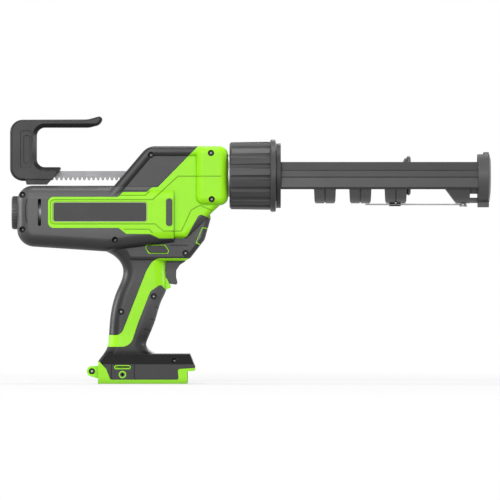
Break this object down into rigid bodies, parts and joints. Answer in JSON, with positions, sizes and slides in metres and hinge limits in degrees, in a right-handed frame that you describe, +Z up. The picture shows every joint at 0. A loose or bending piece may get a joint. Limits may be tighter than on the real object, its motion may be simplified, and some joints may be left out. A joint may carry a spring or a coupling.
{
  "type": "cordless caulking tool",
  "caption": "Pistol-grip battery caulking tool: motor-driven toothed rod with pull handle pushes a piston along an open cartridge cradle with a slotted front cap.",
  "frame": {"origin": "centre of the battery opening in the base plane of the foot", "axes": "+X forward along the rod to the nozzle, +Y to the tool's left, +Z up from the foot"},
  "size_m": [0.525, 0.0792, 0.2916],
  "materials": {
    "green_shell": "satin moulded plastic",
    "dark_overmould": "fine matt texture",
    "label_film": "printed film, left bare",
    "dark_plastic": "fine matt texture",
    "clear_window": "tinted window",
    "zinc_steel": "zinc plated",
    "gear_steel": "hardened",
    "cast_aluminium": "die cast",
    "bronze": "plain",
    "circuit_board": "solder mask"
  },
  "bodies": {
    "housing": {"belt_hook_inserts": "gear_steel", "control_board": "circuit_board", "dial_potentiometer": "dark_plastic", "gear_frame": "cast_aluminium", "housing_screws": "zinc_steel", "left_foot_overmould": "dark_overmould", "left_housing": "green_shell", "left_label": "label_film", "left_motor_overmould": "dark_overmould", "left_ramp_cover": "dark_overmould", "left_side_bumper": "dark_overmould", "light_board": "circuit_board", "light_window": "clear_window", "motor_can": "zinc_steel", "motor_end_bell": "dark_plastic", "nose_spigot": "cast_aluminium", "output_bearing": "gear_steel", "rear_rack_guide": "dark_plastic", "right_foot_overmould": "dark_overmould", "right_housing": "green_shell", "right_label": "label_film", "right_motor_overmould": "dark_overmould", "right_ramp_cover": "dark_overmould", "right_side_bumper": "dark_overmould", "ring_gear_case": "gear_steel", "shaft_bushes": "bronze", "switch_body": "dark_plastic", "terminal_blades": "bronze", "terminal_block": "dark_plastic"},
    "rod": {"rack_bar": "zinc_steel", "pull_handle": "dark_plastic", "pull_pin": "zinc_steel", "piston_plate": "zinc_steel", "piston_cone": "dark_plastic", "piston_screw": "zinc_steel"},
    "drive_pinion": {"rack_pinion": "gear_steel"},
    "clutch_gear": {"output_gear": "gear_steel"},
    "cross_gear": {"cross_shaft": "gear_steel", "spur_pinion": "gear_steel", "bevel_gear": "gear_steel"},
    "carrier": {"planet_carrier": "gear_steel", "bevel_pinion": "gear_steel"},
    "planet_1": {"planet_gear_1": "gear_steel"},
    "planet_2": {"planet_gear_2": "gear_steel"},
    "planet_3": {"planet_gear_3": "gear_steel"},
    "rotor": {"motor_rotor": "gear_steel", "sun_gear": "gear_steel"},
    "collar": {"lock_ring": "dark_plastic"},
    "carriage": {"carriage_frame": "dark_plastic", "cradle_rails": "dark_plastic", "cradle_bands": "dark_plastic", "cradle_bracket": "dark_plastic", "front_cap": "dark_plastic", "wire_clip": "dark_plastic", "wire_rivet": "zinc_steel"},
    "wire": {"puncture_wire": "zinc_steel"},
    "dial": {"speed_dial": "dark_plastic"},
    "trigger_lever": {"trigger": "dark_plastic"},
    "button": {"lock_button": "dark_plastic"}
  },
  "joints": [
    {"name": "rod_feed", "type": "slide", "parent": "housing", "child": "rod", "axis": [1, 0, 0], "range_m": [-0.142, 0.068]},
    {"name": "pinion_spin", "type": "hinge", "parent": "housing", "child": "drive_pinion", "pos_m": [0.034, 0, 0.2135], "axis": [0, 1, 0], "range_deg": [-860, 415]},
    {"name": "motor_spin", "type": "hinge", "parent": "housing", "child": "rotor", "pos_m": [-0.09, 0, 0.1865], "axis": [1, 0, 0], "continuous": true},
    {"name": "carrier_spin", "type": "hinge", "parent": "housing", "child": "carrier", "pos_m": [-0.03, 0, 0.1865], "axis": [1, 0, 0], "continuous": true},
    {"name": "planet_1_spin", "type": "hinge", "parent": "carrier", "child": "planet_1", "pos_m": [-0.054, 0, 0.1985], "axis": [1, 0, 0], "continuous": true},
    {"name": "planet_2_spin", "type": "hinge", "parent": "carrier", "child": "planet_2", "pos_m": [-0.054, -0.01039, 0.1805], "axis": [1, 0, 0], "continuous": true},
    {"name": "planet_3_spin", "type": "hinge", "parent": "carrier", "child": "planet_3", "pos_m": [-0.054, 0.01039, 0.1805], "axis": [1, 0, 0], "continuous": true},
    {"name": "cross_spin", "type": "hinge", "parent": "housing", "child": "cross_gear", "pos_m": [0.034, 0, 0.1865], "axis": [0, 1, 0], "continuous": true},
    {"name": "clutch_spin", "type": "hinge", "parent": "housing", "child": "clutch_gear", "pos_m": [0.034, -0.0095, 0.2135], "axis": [0, 1, 0], "continuous": true},
    {"name": "collar_turn", "type": "hinge", "parent": "housing", "child": "collar", "pos_m": [0.12, 0, 0.227], "axis": [1, 0, 0], "range_deg": [0, 90]},
    {"name": "carriage_swivel", "type": "hinge", "parent": "housing", "child": "carriage", "pos_m": [0.13, 0, 0.227], "axis": [1, 0, 0], "continuous": true},
    {"name": "wire_swing", "type": "hinge", "parent": "carriage", "child": "wire", "pos_m": [0.3502, 0, 0.1955], "axis": [0, 0, 1], "range_deg": [0, 115]},
    {"name": "dial_turn", "type": "hinge", "parent": "housing", "child": "dial", "pos_m": [-0.139, 0, 0.1865], "axis": [1, 0, 0], "range_deg": [0, 270]},
    {"name": "trigger_pull", "type": "slide", "parent": "housing", "child": "trigger_lever", "axis": [-1, 0, 0], "range_m": [0, 0.007], "stiffness_N_per_m": 800, "springref_m": -0.003},
    {"name": "lock_push", "type": "slide", "parent": "housing", "child": "button", "axis": [0, 1, 0], "range_m": [-0.0025, 0.0025]}
  ],
  "couplings": [
    {"joint": "pinion_spin", "follows": "rod_feed", "rad_per_m": 104.17},
    {"joint": "carrier_spin", "follows": "motor_spin", "ratio": 0.2},
    {"joint": "planet_1_spin", "follows": "motor_spin", "ratio": -0.53333},
    {"joint": "planet_2_spin", "follows": "motor_spin", "ratio": -0.53333},
    {"joint": "planet_3_spin", "follows": "motor_spin", "ratio": -0.53333},
    {"joint": "cross_spin", "follows": "motor_spin", "ratio": 0.1},
    {"joint": "clutch_spin", "follows": "motor_spin", "ratio": -0.05}
  ]
}
